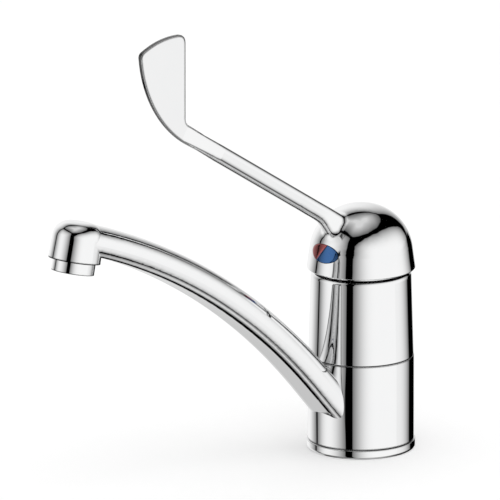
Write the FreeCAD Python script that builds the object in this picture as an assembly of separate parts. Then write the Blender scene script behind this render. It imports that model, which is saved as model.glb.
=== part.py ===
import FreeCAD
import Part
import math
import os
from FreeCAD import Vector

# A single-lever sink mixer tap: a round body with a swivelling collar that carries a low
# arched spout, and a domed lever cap with a long bar that ends in an upright blade.
# Millimetres. Z is up, the deck is at Z = 0 on the body's axis, and -Y is the way the
# spout and the lever point. "Reach" below is the distance forward, so reach = -Y.
# The cartridge sets the width of the body, and the body sets the collar, base and cap.

# Cartridge, from the well floor up
CARTRIDGE_RADIUS = 20.0
WELL_CLEARANCE = 0.3
CARTRIDGE_FLOOR = 2.5
CARTRIDGE_WALL = 2.7
FIXED_DISC_THICKNESS = 3.5
MOVING_DISC_THICKNESS = 3.0
DISC_GAP = 0.02
DISC_EDGE_ROOM = 0.5
DISC_KEY_RADIUS = 1.6
SEAL_WALL = 1.2
HOUSING_SHOULDER = 3.0
HOUSING_SHOULDER_BELOW_TOP = 9.0
HOUSING_BELOW_BODY_TOP = 1.5
NUT_WALL = 5.2
NUT_NECK_GAP = 0.2
NUT_SEAT_GAP = 0.5
NUT_NOTCHES = 4
NUT_NOTCH_WIDTH = 4.0
NUT_NOTCH_DEPTH = 2.5

# Water ways. The inlets stand each side of the front, the outlet behind the axis.
PORT_RADIUS = 3.2
INLET_CIRCLE_RADIUS = 8.0
INLET_HALF_ANGLE = 35.0
OUTLET_OFFSET = 5.0
MIXING_RADIUS = 4.3

# Lever motion
LEVER_LIFT = 25.0
PIVOT_BELOW_BODY_TOP = 11.0
BALL_ARM = 12.0
BALL_RADIUS = 3.5
BALL_FLOOR_GAP = 0.5
BALL_CLEARANCE = 0.3

# Disc carrier and the turret that guides it
CARRIER_PLATE_INSET = 0.6
CARRIER_PLATE_THICKNESS = 3.2
CARRIER_HEIGHT = 7.4
CARRIER_HALF_WIDTH = 9.0
CARRIER_HALF_LENGTH = 9.5
CARRIER_PEG_RADIUS = 1.5
CARRIER_PEG_INSET = 3.2
CARRIER_PEG_DEPTH = 1.6
GUIDE_GAP = 0.1
GUIDE_WIDTH = 3.0
TURRET_FLANGE_THICKNESS = 4.0
TURRET_NECK_WALL = 2.22
TURRET_CLEARANCE = 0.08
TURRET_PROUD = 0.5

# Lever stem and its pin
STEM_SQUARE = 9.0
STEM_CLEARANCE = 0.1
STEM_NECK_RADIUS = 2.4
STEM_BLOCK_BELOW = 6.0
STEM_TOP_ARM = 38.0
PIN_RADIUS = 2.0
PIN_CLEARANCE = 0.05
PIN_INSET = 0.4
SLOT_SIDE_ROOM = 0.75

# Fixed upper body
BODY_HEIGHT = 44.2
BODY_TOP_WALL = 3.1
BODY_TAPER = 1.25
BODY_TOP_LAND = 0.3

# Swivel collar and the fixed spigot that it turns on
COLLAR_HEIGHT = 44.0
COLLAR_STEP = 0.25
COLLAR_WALL = 4.7
COLLAR_EDGE_ROUND = 0.4
SPIGOT_CLEARANCE = 0.3
TURNING_GAP = 0.1
SLIP_RING_WALL = 2.0
SLIP_RING_HEIGHT = 4.0
SLIP_RING_CLEARANCE = 0.08
SLIP_RING_END_GAP = 0.05
O_RING_CORD = 2.4
O_RING_BORE_GAP = 0.15
O_RING_GROOVE_WIDTH = 3.2
O_RING_FROM_END = 7.5
OUTLET_GROOVE_DEPTH = 2.0
OUTLET_GROOVE_HEIGHT = 14.0

# Base ring
BASE_STEP = 0.65
BASE_HEIGHT = 4.6
BASE_EDGE_ROUND = 1.6
GASKET_FROM_SPIGOT = 1.4
GASKET_WIDTH = 2.6
GASKET_HEIGHT = 1.8

# Connections under the body
HOSE_THREAD_RADIUS = 4.5
HOSE_THREAD_DEPTH = 14.0
HOSE_SPACING = 19.0
HOSE_FORWARD = 4.0
STUD_THREAD_RADIUS = 3.4
STUD_THREAD_DEPTH = 16.0
STUD_OFFSET = 13.0

# Chrome cover over the cartridge nut
COVER_FOOT_INSET = 1.5
COVER_LEDGE = 1.96
COVER_WALL = 1.2
COVER_OPENING_RADIUS = 12.9
COVER_FOOT_HEIGHT = 0.8

# Lever cap
CAP_GAP = 1.15
CAP_OVERHANG = 2.05
CAP_RIM_ROUND = 0.5
CAP_DRAFT = 7.8
CAP_SKIRT_HEIGHT = 10.6
CAP_SHOULDER_OFFSET = 1.1
CAP_CROWN_RADIUS = 49.3
CAP_SKIRT_WALL = 1.9
CAP_CROWN_WALL = 3.4
BOSS_RADIUS = 9.8
SWEEP_GAP = 0.5

# Lever bar, in the plane X = 0. Its heights are above the cap's rim: the straight run's
# axis, carried back, crosses the tap's axis at BAR_AXIS_HEIGHT.
BAR_SLOPE = 32.0
BAR_AXIS_HEIGHT = 15.95
BAR_HALF_DEPTH = 4.55
BAR_HALF_WIDTH = 4.0
BAR_CORNER_ROUND = 3.4
BAR_NECK_REACH = 31.5
BAR_NECK_LEAD = 6.0
BAR_NECK_LEADS = 2
BAR_TAPER_LENGTH = 22.5

# The neck, where the bar's underside turns down into the cap, as (reach and height of the top
# of each section, reach and height of its underside, half width, corner round)
NECK_SECTIONS = (
    (4.0, 23.8, 17.0, 13.0, 6.0, 4.8),
    (10.0, 27.55, 21.7, 18.6, 5.5, 4.6),
    (16.5, 31.65, 24.9, 23.2, 4.8, 4.2),
    (22.5, 35.4, 27.8, 27.3, 4.2, 3.6),
)
NECK_BLEND = 4.5

# Blade: its inner edge stands upright on the bar, its outer edge bows forward
BLADE_REACH = 119.5
BLADE_INNER_LENGTH = 46.2
BLADE_WIDTH = 30.2
BLADE_TIP_DROP = 5.7
BLADE_THICKNESS = 2.3
BLADE_ROOT_OVERLAP = 1.5
BLADE_ROOT_HALF_WIDTH = 1.05
BLADE_EDGE_ROUND = 0.5
BLADE_INNER_ROUND = 4.0
BLADE_TOP_ROUND = 4.5
BLADE_TIP_ROUND = 3.0
BLADE_TOP_BULGE = 2.6
BLADE_OUTER_BULGE = 7.3

# Hot and cold index on the front of the cap, and the screw behind it
INDEX_HEIGHT_ABOVE_RIM = 11.45
INDEX_HALF_WIDTH = 9.8
INDEX_HALF_HEIGHT = 4.7
INDEX_GAP = 0.08
INDEX_PROUD = 0.15
INDEX_DEPTH = 1.1
INDEX_SPLIT_ANGLE = 44.0
SCREW_RADIUS = 2.5
SCREW_BEHIND_INDEX = 3.8
SCREW_KEY_WIDTH = 2.5
SCREW_KEY_DEPTH = 3.0
SCREW_BOSS_RADIUS = 4.6

# Spout, in the plane X = 0: an arm along one arc and a nozzle turned down at its end
SPOUT_REACH = 193.2
ARM_BELOW_COLLAR_TOP = 1.7
ARM_ROOT_SLOPE = 47.9
ARM_ARC_RADIUS = 368.0
ARM_ROOT_DEPTH = 16.5
ARM_END_DEPTH = 15.3
ARM_ROOT_HALF_WIDTH = 13.2
ARM_END_HALF_WIDTH = 12.85
ARM_FLAT_SHARE = 0.5
ARM_FLOOR_PULL = 0.82
ARM_CROWN_PULL = 0.72
ARM_LOWER_RISE = 6.0
ARM_SECTIONS = 7
ARM_WALL = 2.6
NOZZLE_TILT = 12.0
NOZZLE_RIM_RADIUS = 13.3
NOZZLE_SHOULDER_RADIUS = 12.6
NOZZLE_LENGTH = 19.6
NOZZLE_TOP_ROUND = 8.0
NOZZLE_WALL = 2.8

# Aerator
AERATOR_RADIUS = 10.95
AERATOR_VISIBLE = 6.0
AERATOR_THREAD_LENGTH = 7.0
AERATOR_WALL = 1.9
AERATOR_LIP = 0.8
AERATOR_LIP_HEIGHT = 0.8
WASHER_THICKNESS = 2.0
SCREEN_THICKNESS = 0.6
SCREEN_HOLE_RADIUS = 0.8
INSERT_HOLE_RADIUS = 1.0
INSERT_HOLE_PITCH = 3.0
INSERT_RING_HOLES = (1, 6, 12)

# Radii that follow from the sizes above
WELL_RADIUS = CARTRIDGE_RADIUS + WELL_CLEARANCE
CHAMBER_RADIUS = CARTRIDGE_RADIUS - CARTRIDGE_WALL
FIXED_DISC_RADIUS = CHAMBER_RADIUS - WELL_CLEARANCE
HOUSING_NECK_RADIUS = CARTRIDGE_RADIUS - HOUSING_SHOULDER
TURRET_NECK_RADIUS = HOUSING_NECK_RADIUS - TURRET_NECK_WALL - TURRET_CLEARANCE
NUT_INNER_RADIUS = HOUSING_NECK_RADIUS + NUT_NECK_GAP
NUT_RADIUS = NUT_INNER_RADIUS + NUT_WALL
BODY_TOP_RADIUS = NUT_RADIUS + BODY_TOP_WALL
BODY_FOOT_RADIUS = BODY_TOP_RADIUS + BODY_TAPER
BODY_TOP_ROUND = BODY_TOP_WALL - BODY_TOP_LAND
COLLAR_RADIUS = BODY_FOOT_RADIUS + COLLAR_STEP
COLLAR_BORE = COLLAR_RADIUS - COLLAR_WALL
SPIGOT_RADIUS = COLLAR_BORE - SPIGOT_CLEARANCE
BASE_RADIUS = COLLAR_RADIUS + BASE_STEP
COVER_FOOT_RADIUS = BODY_TOP_RADIUS - COVER_FOOT_INSET
CAP_RIM_RADIUS = BODY_TOP_RADIUS + CAP_OVERHANG
AERATOR_THREAD_RADIUS = NOZZLE_RIM_RADIUS - NOZZLE_WALL
AERATOR_BORE = AERATOR_RADIUS - AERATOR_WALL

# Heights that follow
COLLAR_BOTTOM = BASE_HEIGHT + TURNING_GAP
COLLAR_TOP = COLLAR_BOTTOM + COLLAR_HEIGHT
SHOULDER = COLLAR_TOP + TURNING_GAP
BODY_TOP = SHOULDER + BODY_HEIGHT
PIVOT = BODY_TOP - PIVOT_BELOW_BODY_TOP
LEAN = LEVER_LIFT / 2
DISC_TOP = PIVOT - BALL_ARM - BALL_RADIUS - BALL_FLOOR_GAP
MOVING_DISC_BOTTOM = DISC_TOP - MOVING_DISC_THICKNESS
FIXED_DISC_TOP = MOVING_DISC_BOTTOM - DISC_GAP
FIXED_DISC_BOTTOM = FIXED_DISC_TOP - FIXED_DISC_THICKNESS
WELL_FLOOR = FIXED_DISC_BOTTOM - CARTRIDGE_FLOOR
CARRIER_TOP = DISC_TOP + CARRIER_HEIGHT
FLANGE_BOTTOM = CARRIER_TOP + GUIDE_GAP
FLANGE_TOP = FLANGE_BOTTOM + TURRET_FLANGE_THICKNESS
HOUSING_TOP = BODY_TOP - HOUSING_BELOW_BODY_TOP
NUT_SEAT = BODY_TOP - HOUSING_SHOULDER_BELOW_TOP
COVER_FOOT_TOP = BODY_TOP + COVER_FOOT_HEIGHT
CAP_RIM = BODY_TOP + CAP_GAP
CAP_SKIRT_TOP = CAP_RIM + CAP_RIM_ROUND + CAP_SKIRT_HEIGHT
INDEX_HEIGHT = CAP_RIM + INDEX_HEIGHT_ABOVE_RIM

# The lever's closed place, and the sphere about its pivot that the cover follows
DISC_START = BALL_ARM * math.sin(math.radians(LEAN))
MOVING_DISC_RADIUS = CHAMBER_RADIUS - DISC_START - DISC_EDGE_ROOM
CARRIER_PLATE_RADIUS = MOVING_DISC_RADIUS - CARRIER_PLATE_INSET
CARRIER_PEG_OFFSET = MOVING_DISC_RADIUS - CARRIER_PEG_INSET
COVER_RADIUS = math.hypot(COVER_FOOT_RADIUS - COVER_LEDGE, COVER_FOOT_TOP - PIVOT)
SWEEP_RADIUS = COVER_RADIUS + SWEEP_GAP

TOLERANCE = 1e-6
SEAM_TOLERANCE = 1e-3
TURN = 360
HEXAGON = 6
MIRROR_SIDES = (-1, 1)
DIAGONAL = math.sqrt(0.5)
ELLIPSE_PULL = 4 / 3 * (math.sqrt(2) - 1)
PIVOT_POINT = Vector(0, 0, PIVOT)
Z_AXIS = Vector(0, 0, 1)
X_AXIS = Vector(1, 0, 0)
Y_AXIS = Vector(0, 1, 0)
ORIGIN = Vector(0, 0, 0)


def seam_edges(joined, first, second):
    """The edges of a joined solid that lie on the skins of both of its halves."""
    seam = []
    for edge in joined.Edges:
        middle = Part.Vertex(edge.valueAt((edge.FirstParameter + edge.LastParameter) / 2))
        on_first = middle.distToShape(first.Shells[0])[0] < SEAM_TOLERANCE
        on_second = middle.distToShape(second.Shells[0])[0] < SEAM_TOLERANCE
        if on_first and on_second:
            seam.append(edge)
    return seam


def side(reach, height, across=0.0):
    """A point given by its reach forward, its height and its place across the tap."""
    return Vector(across, -reach, height)


def ring(inner, outer, bottom, top):
    """A plain ring about the tap's axis."""
    tube = Part.makeCylinder(outer, top - bottom, Vector(0, 0, bottom))
    if inner <= 0:
        return tube
    return tube.cut(Part.makeCylinder(inner, top - bottom, Vector(0, 0, bottom)))


def turned(edges):
    """A solid turned about the tap's axis from edges that close on themselves."""
    face = Part.Face(Part.Wire(edges))
    return face.revolve(ORIGIN, Z_AXIS, TURN)


def polyline(points):
    """Straight edges through (radius, height) pairs in the plane Y = 0."""
    corners = [Vector(radius, 0, height) for radius, height in points]
    return [Part.makeLine(a, b) for a, b in zip(corners[:-1], corners[1:])]


def turned_polygon(points):
    """A turned solid with straight edges through (radius, height) pairs."""
    return turned(polyline(list(points) + [points[0]]))


def fillet_at_height(solid, height, radius, outer_radius):
    """Round the full circle of the given radius that lies at the given height."""
    edges = []
    for edge in solid.Edges:
        box = edge.BoundBox
        flat = box.ZLength < TOLERANCE and abs(box.ZMin - height) < TOLERANCE
        if flat and abs(box.XMax - outer_radius) < TOLERANCE:
            edges.append(edge)
    return solid.makeFillet(radius, edges)


def inlet_positions():
    """Plan positions of the two inlet ports, each side of the front."""
    turn = math.radians(INLET_HALF_ANGLE)
    x, y = INLET_CIRCLE_RADIUS * math.sin(turn), -INLET_CIRCLE_RADIUS * math.cos(turn)
    return [(sign * x, y) for sign in MIRROR_SIDES]


def hole(x, y, radius, bottom, top):
    """An upright cylinder used as a hole."""
    return Part.makeCylinder(radius, top - bottom, Vector(x, y, bottom))


# Base and body


def make_base_ring():
    solid = ring(SPIGOT_RADIUS, BASE_RADIUS, 0, BASE_HEIGHT)
    solid = fillet_at_height(solid, 0, BASE_EDGE_ROUND, BASE_RADIUS)
    solid = fillet_at_height(solid, BASE_HEIGHT, COLLAR_EDGE_ROUND, BASE_RADIUS)
    return solid.cut(make_base_gasket())


def make_base_gasket():
    inner = SPIGOT_RADIUS + GASKET_FROM_SPIGOT
    return ring(inner, inner + GASKET_WIDTH, 0, GASKET_HEIGHT)


def o_ring_heights():
    """Heights of the two grooves, the same distance in from each end of the collar."""
    return COLLAR_BOTTOM + O_RING_FROM_END, COLLAR_TOP - O_RING_FROM_END


def make_body():
    shell = turned_polygon([
        (0, 0),
        (SPIGOT_RADIUS, 0),
        (SPIGOT_RADIUS, SHOULDER),
        (BODY_FOOT_RADIUS, SHOULDER),
        (BODY_TOP_RADIUS, BODY_TOP),
        (0, BODY_TOP),
    ])
    shell = fillet_at_height(shell, BODY_TOP, BODY_TOP_ROUND, BODY_TOP_RADIUS)
    shell = fillet_at_height(shell, SHOULDER, COLLAR_EDGE_ROUND, BODY_FOOT_RADIUS)
    cuts = [
        ring(0, WELL_RADIUS, WELL_FLOOR, BODY_TOP),
        ring(0, NUT_RADIUS, NUT_SEAT - NUT_SEAT_GAP, BODY_TOP),
    ]
    groove_floor = COLLAR_BORE - O_RING_BORE_GAP - O_RING_CORD
    for height in o_ring_heights():
        half = O_RING_GROOVE_WIDTH / 2
        cuts.append(ring(groove_floor, SPIGOT_RADIUS, height - half, height + half))
    middle = (COLLAR_BOTTOM + COLLAR_TOP) / 2
    half = OUTLET_GROOVE_HEIGHT / 2
    groove = ring(SPIGOT_RADIUS - OUTLET_GROOVE_DEPTH, SPIGOT_RADIUS, middle - half, middle + half)
    cuts.append(groove)
    for x, y in inlet_positions():
        cuts.append(hole(x, y, PORT_RADIUS, HOSE_THREAD_DEPTH - PORT_RADIUS, WELL_FLOOR))
    for sign in MIRROR_SIDES:
        cuts.append(hole(sign * HOSE_SPACING / 2, -HOSE_FORWARD, HOSE_THREAD_RADIUS, 0, HOSE_THREAD_DEPTH))
    cuts.append(hole(0, OUTLET_OFFSET, PORT_RADIUS, middle - PORT_RADIUS, WELL_FLOOR))
    start = Vector(0, OUTLET_OFFSET, middle)
    cross_bore = Part.makeCylinder(PORT_RADIUS, SPIGOT_RADIUS, start, Y_AXIS)
    cuts.append(cross_bore.common(ring(0, SPIGOT_RADIUS, middle - half, middle + half)))
    cuts.append(hole(0, STUD_OFFSET, STUD_THREAD_RADIUS, 0, STUD_THREAD_DEPTH))
    return shell.cut(cuts)


def make_slip_ring(bottom):
    inner = SPIGOT_RADIUS
    return ring(inner, inner + SLIP_RING_WALL, bottom, bottom + SLIP_RING_HEIGHT)


def make_o_ring(height):
    middle = COLLAR_BORE - O_RING_BORE_GAP - O_RING_CORD / 2
    return Part.makeTorus(middle, O_RING_CORD / 2, Vector(0, 0, height))


# Spout


def arm_end():
    """Reach of the nozzle's axis at its top, where the arm's arc ends, and its slope there."""
    reach = SPOUT_REACH - NOZZLE_LENGTH * math.sin(math.radians(NOZZLE_TILT))
    start = math.radians(ARM_ROOT_SLOPE)
    return reach, math.asin(math.sin(start) - (reach - COLLAR_RADIUS) / ARM_ARC_RADIUS)


def arm_station(share):
    """Crown point, upward normal, depth and half width of the arm at a share of its length."""
    start = math.radians(ARM_ROOT_SLOPE)
    slope = start + (arm_end()[1] - start) * share
    reach = COLLAR_RADIUS + ARM_ARC_RADIUS * (math.sin(start) - math.sin(slope))
    rise = ARM_ARC_RADIUS * (math.cos(slope) - math.cos(start))
    crown = side(reach, COLLAR_TOP - ARM_BELOW_COLLAR_TOP + rise)
    up = side(-math.sin(slope), math.cos(slope))
    depth = ARM_ROOT_DEPTH + (ARM_END_DEPTH - ARM_ROOT_DEPTH) * share
    width = ARM_ROOT_HALF_WIDTH + (ARM_END_HALF_WIDTH - ARM_ROOT_HALF_WIDTH) * share
    return crown, up, depth, width


def quarter(start, corner, end, start_pull, end_pull):
    """A smooth turn between two points, drawn towards the corner of their tangents.

    At ELLIPSE_PULL on both ends it is a quarter of an ellipse. More pull flattens that end.
    """
    curve = Part.BezierCurve()
    curve.setPoles([
        start,
        start + (corner - start) * start_pull,
        end + (corner - end) * end_pull,
        end,
    ])
    return curve.toShape()


def arch_section(crown, up, depth, half_width, inset):
    """A flat-bottomed arch: a flattened crown on sides that turn in tightly to the floor."""
    top = crown - up * inset
    floor = crown - up * (depth - inset)
    out = half_width - inset
    flat = half_width * ARM_FLAT_SHARE - inset
    waist = floor + up * (ARM_LOWER_RISE - inset / 2)

    def across(point, distance):
        return point + X_AXIS * distance

    def turn_in(hand):
        """The lower turn on one side, from the floor's flat to the waist."""
        return quarter(
            across(floor, hand * flat), across(floor, hand * out), across(waist, hand * out),
            ARM_FLOOR_PULL, ELLIPSE_PULL)

    def shoulder(hand):
        """The upper turn on one side, from the crown to the waist."""
        return quarter(
            top, across(top, hand * out), across(waist, hand * out), ARM_CROWN_PULL, ELLIPSE_PULL)

    edges = [Part.makeLine(across(floor, -flat), across(floor, flat))]
    edges += [turn_in(1), shoulder(1), shoulder(-1), turn_in(-1)]
    return Part.Wire(edges)


def make_arm(inset):
    """The arm from inside the collar's bore to the nozzle's axis."""
    sections = []
    crown, up, depth, width = arm_station(0)
    along = Vector(0, -up.z, up.y)
    inner_crown = crown - along * COLLAR_RADIUS
    sections.append(arch_section(inner_crown, up, depth, width, inset))
    for index in range(ARM_SECTIONS):
        crown, up, depth, width = arm_station(index / (ARM_SECTIONS - 1))
        sections.append(arch_section(crown, up, depth, width, inset))
    return Part.makeLoft(sections, True, False)


def nozzle_rim_height():
    """Height of the rim's centre, so that the nozzle's top is level with the arm's crown."""
    return arm_station(1)[0].z - NOZZLE_LENGTH * math.cos(math.radians(NOZZLE_TILT))


def nozzle_place(solid):
    """Move a solid modelled on the upright axis at the origin to the nozzle's rim."""
    placed = solid.copy()
    placed.rotate(ORIGIN, X_AXIS, -NOZZLE_TILT)
    placed.translate(side(SPOUT_REACH, nozzle_rim_height()))
    return placed


def make_nozzle():
    """The down-turned end of the spout, open towards the arm."""
    top = NOZZLE_LENGTH
    outer = turned_polygon([
        (0, 0),
        (NOZZLE_RIM_RADIUS, 0),
        (NOZZLE_SHOULDER_RADIUS, top),
        (0, top),
    ])
    return fillet_at_height(outer, top, NOZZLE_TOP_ROUND, NOZZLE_SHOULDER_RADIUS)


def make_spout():
    collar = ring(0, COLLAR_RADIUS, COLLAR_BOTTOM, COLLAR_TOP)
    collar = fillet_at_height(collar, COLLAR_TOP, COLLAR_EDGE_ROUND, COLLAR_RADIUS)
    collar = fillet_at_height(collar, COLLAR_BOTTOM, COLLAR_EDGE_ROUND, COLLAR_RADIUS)
    casting = collar.fuse([make_arm(0), nozzle_place(make_nozzle())])
    seat = SPIGOT_RADIUS + SLIP_RING_WALL + SLIP_RING_CLEARANCE
    seat_depth = SLIP_RING_HEIGHT + SLIP_RING_END_GAP
    clear_of_body = ring(0, BODY_FOOT_RADIUS + SPIGOT_CLEARANCE, COLLAR_TOP, BODY_TOP)
    thread_top = AERATOR_THREAD_LENGTH + WASHER_THICKNESS
    thread = ring(0, AERATOR_THREAD_RADIUS, 0, thread_top)
    mouth = ring(0, AERATOR_BORE, thread_top, NOZZLE_LENGTH - NOZZLE_WALL)
    cuts = [
        ring(0, COLLAR_BORE, 0, COLLAR_TOP),
        ring(0, seat, 0, BASE_HEIGHT + seat_depth),
        ring(0, seat, SHOULDER - seat_depth, COLLAR_TOP),
        clear_of_body,
        make_arm(ARM_WALL).cut(clear_of_body),
        nozzle_place(thread),
        nozzle_place(mouth),
    ]
    return casting.cut(cuts).removeSplitter()


# Aerator


def ring_of_holes(radius, bottom, top):
    """Holes on rings one pitch apart, from a single one in the middle."""
    holes = []
    for index, count in enumerate(INSERT_RING_HOLES):
        circle = index * INSERT_HOLE_PITCH
        for step in range(count):
            turn = 2 * math.pi * step / count
            holes.append(hole(circle * math.cos(turn), circle * math.sin(turn), radius, bottom, top))
    return holes


def make_aerator_shell():
    lip_radius = AERATOR_BORE - AERATOR_LIP
    return nozzle_place(turned_polygon([
        (lip_radius, -AERATOR_VISIBLE),
        (AERATOR_RADIUS, -AERATOR_VISIBLE),
        (AERATOR_RADIUS, 0),
        (AERATOR_THREAD_RADIUS, 0),
        (AERATOR_THREAD_RADIUS, AERATOR_THREAD_LENGTH),
        (AERATOR_BORE, AERATOR_THREAD_LENGTH),
        (AERATOR_BORE, AERATOR_LIP_HEIGHT - AERATOR_VISIBLE),
        (lip_radius, AERATOR_LIP_HEIGHT - AERATOR_VISIBLE),
    ]))


def make_aerator_insert():
    bottom = AERATOR_LIP_HEIGHT - AERATOR_VISIBLE
    top = AERATOR_THREAD_LENGTH - SCREEN_THICKNESS
    solid = ring(0, AERATOR_BORE, bottom, top)
    return nozzle_place(solid.cut(ring_of_holes(INSERT_HOLE_RADIUS, bottom, top)))


def make_aerator_screen():
    bottom = AERATOR_THREAD_LENGTH - SCREEN_THICKNESS
    solid = ring(0, AERATOR_BORE, bottom, AERATOR_THREAD_LENGTH)
    return nozzle_place(solid.cut(ring_of_holes(SCREEN_HOLE_RADIUS, bottom, AERATOR_THREAD_LENGTH)))


def make_aerator_washer():
    bottom = AERATOR_THREAD_LENGTH
    solid = ring(AERATOR_BORE - AERATOR_LIP, AERATOR_THREAD_RADIUS, bottom, bottom + WASHER_THICKNESS)
    return nozzle_place(solid)


# Cartridge


def port_positions():
    """Plan positions of the inlets and the outlet."""
    return inlet_positions() + [(0, OUTLET_OFFSET)]


def disc_keys(top):
    """Two round keys at the fixed disc's edge, up to the given height."""
    keys = []
    for sign in MIRROR_SIDES:
        keys.append(hole(sign * FIXED_DISC_RADIUS, 0, DISC_KEY_RADIUS, FIXED_DISC_BOTTOM, top))
    return keys


def make_cartridge_base():
    solid = ring(0, CARTRIDGE_RADIUS, WELL_FLOOR, FIXED_DISC_BOTTOM)
    inside = ring(0, FIXED_DISC_RADIUS, WELL_FLOOR, FIXED_DISC_TOP)
    for key in disc_keys(FIXED_DISC_BOTTOM + FIXED_DISC_THICKNESS / 2):
        solid = solid.fuse(key.common(inside))
    seal = PORT_RADIUS + SEAL_WALL
    return solid.cut([hole(x, y, seal, WELL_FLOOR, FIXED_DISC_BOTTOM) for x, y in port_positions()])


def make_cartridge_seals():
    rings = []
    for x, y in port_positions():
        outer = hole(x, y, PORT_RADIUS + SEAL_WALL, WELL_FLOOR, FIXED_DISC_BOTTOM)
        rings.append(outer.cut(hole(x, y, PORT_RADIUS, WELL_FLOOR, FIXED_DISC_BOTTOM)))
    return Part.makeCompound(rings)


def make_fixed_disc():
    solid = ring(0, FIXED_DISC_RADIUS, FIXED_DISC_BOTTOM, FIXED_DISC_TOP)
    ports = [hole(x, y, PORT_RADIUS, FIXED_DISC_BOTTOM, FIXED_DISC_TOP) for x, y in port_positions()]
    return solid.cut(ports + disc_keys(FIXED_DISC_TOP))


def carrier_pegs():
    """The two pegs by which the carrier drives the moving disc."""
    bottom = DISC_TOP - CARRIER_PEG_DEPTH
    pegs = []
    for sign in MIRROR_SIDES:
        pegs.append(hole(sign * CARRIER_PEG_OFFSET, DISC_START, CARRIER_PEG_RADIUS, bottom, DISC_TOP))
    return pegs


def make_moving_disc():
    """The upper disc at its closed place, with the mixing hollow in its underside.

    The hollow runs from the tap's axis back over the outlet, so it clears both inlets at
    any turn of the lever until the disc moves forward.
    """
    start = Vector(0, DISC_START, MOVING_DISC_BOTTOM)
    solid = Part.makeCylinder(MOVING_DISC_RADIUS, MOVING_DISC_THICKNESS, start)
    hollow_top = MOVING_DISC_BOTTOM + MOVING_DISC_THICKNESS / 2
    near = hole(0, 0, MIXING_RADIUS, MOVING_DISC_BOTTOM, hollow_top)
    far = hole(0, OUTLET_OFFSET, MIXING_RADIUS, MOVING_DISC_BOTTOM, hollow_top)
    between = Part.makeBox(
        2 * MIXING_RADIUS, OUTLET_OFFSET, MOVING_DISC_THICKNESS / 2,
        Vector(-MIXING_RADIUS, 0, MOVING_DISC_BOTTOM))
    hollow = near.fuse([far, between]).removeSplitter()
    return solid.cut([hollow] + carrier_pegs())


def make_disc_carrier():
    start = Vector(0, DISC_START, DISC_TOP)
    plate = Part.makeCylinder(CARRIER_PLATE_RADIUS, CARRIER_PLATE_THICKNESS, start)
    block = Part.makeBox(
        2 * CARRIER_HALF_WIDTH, 2 * CARRIER_HALF_LENGTH, CARRIER_HEIGHT,
        start - Vector(CARRIER_HALF_WIDTH, CARRIER_HALF_LENGTH, 0))
    socket = hole(0, DISC_START, BALL_RADIUS + BALL_CLEARANCE, DISC_TOP, CARRIER_TOP)
    return plate.fuse([block] + carrier_pegs()).cut(socket).removeSplitter()


def make_cartridge_housing():
    return turned_polygon([
        (CHAMBER_RADIUS, FIXED_DISC_BOTTOM),
        (CARTRIDGE_RADIUS, FIXED_DISC_BOTTOM),
        (CARTRIDGE_RADIUS, NUT_SEAT),
        (HOUSING_NECK_RADIUS, NUT_SEAT),
        (HOUSING_NECK_RADIUS, HOUSING_TOP),
        (TURRET_NECK_RADIUS + TURRET_CLEARANCE, HOUSING_TOP),
        (TURRET_NECK_RADIUS + TURRET_CLEARANCE, FLANGE_TOP + GUIDE_GAP),
        (CHAMBER_RADIUS, FLANGE_TOP + GUIDE_GAP),
    ])


def make_cartridge_turret():
    neck_top = HOUSING_TOP + TURRET_PROUD
    solid = ring(0, CHAMBER_RADIUS - WELL_CLEARANCE, FLANGE_BOTTOM, FLANGE_TOP)
    solid = solid.fuse(ring(0, TURRET_NECK_RADIUS, FLANGE_TOP, neck_top))
    rail_bottom = DISC_TOP + CARRIER_PLATE_THICKNESS + 2 * GUIDE_GAP
    near = CARRIER_HALF_WIDTH + GUIDE_GAP
    for left in (near, -near - GUIDE_WIDTH):
        solid = solid.fuse(Part.makeBox(
            GUIDE_WIDTH, 2 * CARRIER_HALF_LENGTH, FLANGE_BOTTOM - rail_bottom,
            Vector(left, -CARRIER_HALF_LENGTH, rail_bottom)))
    lean = math.radians(LEAN)
    slot_half = STEM_SQUARE / 2 + STEM_CLEARANCE
    slot_reach = (neck_top - PIVOT) * math.tan(lean) + slot_half / math.cos(lean) + SLOT_SIDE_ROOM
    slot = Part.makeBox(
        2 * slot_half, 2 * slot_reach, neck_top - FLANGE_BOTTOM,
        Vector(-slot_half, -slot_reach, FLANGE_BOTTOM))
    pin_hole = Part.makeCylinder(
        PIN_RADIUS + PIN_CLEARANCE, 2 * TURRET_NECK_RADIUS,
        PIVOT_POINT - X_AXIS * TURRET_NECK_RADIUS, X_AXIS)
    return solid.cut([slot, pin_hole]).removeSplitter()


def stem_direction():
    """Up along the stem and square to it towards the front, with the lever closed."""
    lean = math.radians(LEAN)
    return side(math.sin(lean), math.cos(lean)), side(math.cos(lean), -math.sin(lean))


def leaned(solid):
    """Turn a solid modelled on an upright stem to the stem's place with the lever closed."""
    placed = solid.copy()
    placed.rotate(PIVOT_POINT, X_AXIS, LEAN)
    return placed


def make_cartridge_stem():
    half = STEM_SQUARE / 2
    shank = Part.makeBox(
        STEM_SQUARE, STEM_SQUARE, STEM_BLOCK_BELOW + STEM_TOP_ARM,
        PIVOT_POINT - Vector(half, half, STEM_BLOCK_BELOW))
    neck = ring(0, STEM_NECK_RADIUS, PIVOT - BALL_ARM, PIVOT - STEM_BLOCK_BELOW)
    ball = Part.makeSphere(BALL_RADIUS, Vector(0, 0, PIVOT - BALL_ARM))
    pin_hole = Part.makeCylinder(PIN_RADIUS, STEM_SQUARE, PIVOT_POINT - X_AXIS * half, X_AXIS)
    return leaned(shank.fuse([neck, ball]).cut(pin_hole).removeSplitter())


def make_stem_pin():
    half = TURRET_NECK_RADIUS - PIN_INSET
    return Part.makeCylinder(PIN_RADIUS, 2 * half, PIVOT_POINT - X_AXIS * half, X_AXIS)


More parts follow.
